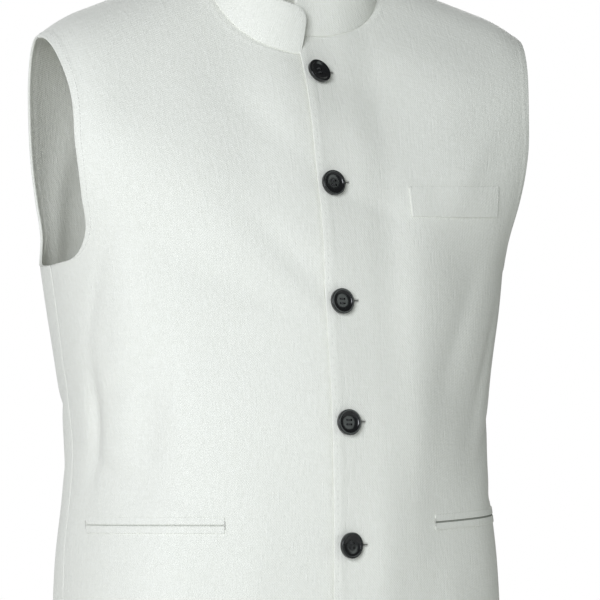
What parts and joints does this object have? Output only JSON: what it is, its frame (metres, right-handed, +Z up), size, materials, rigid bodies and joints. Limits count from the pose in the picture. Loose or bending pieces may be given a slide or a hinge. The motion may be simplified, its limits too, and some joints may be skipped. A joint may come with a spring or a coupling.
{
  "type": "nehru jacket",
  "caption": "Sleeveless ivory Nehru jacket with a standing band collar, worn shape, buttoned front, chest welt and jetted hip pockets.",
  "frame": {"origin": "midway between the two points where the shoulder seams meet the collar, where the jacket hangs from the wearer's shoulders", "axes": "+Z up, -Y the front of the jacket, +X the wearer's left"},
  "size_m": [0.4445, 0.2667, 0.7011],
  "materials": {
    "ivory_cloth": "matt ivory slubby plain weave",
    "black_button": "glossy black"
  },
  "bodies": {
    "root": {"front_right": "ivory_cloth", "back_right": "ivory_cloth", "back_left": "ivory_cloth", "front_left": "ivory_cloth", "collar": "ivory_cloth", "chest_welt": "ivory_cloth", "hip_jet_upper_left": "ivory_cloth", "hip_jet_lower_left": "ivory_cloth", "hip_jet_upper_right": "ivory_cloth", "hip_jet_lower_right": "ivory_cloth", "button_1": "black_button", "button_2": "black_button", "button_3": "black_button", "button_4": "black_button", "button_5": "black_button"}
  },
  "joints": []
}
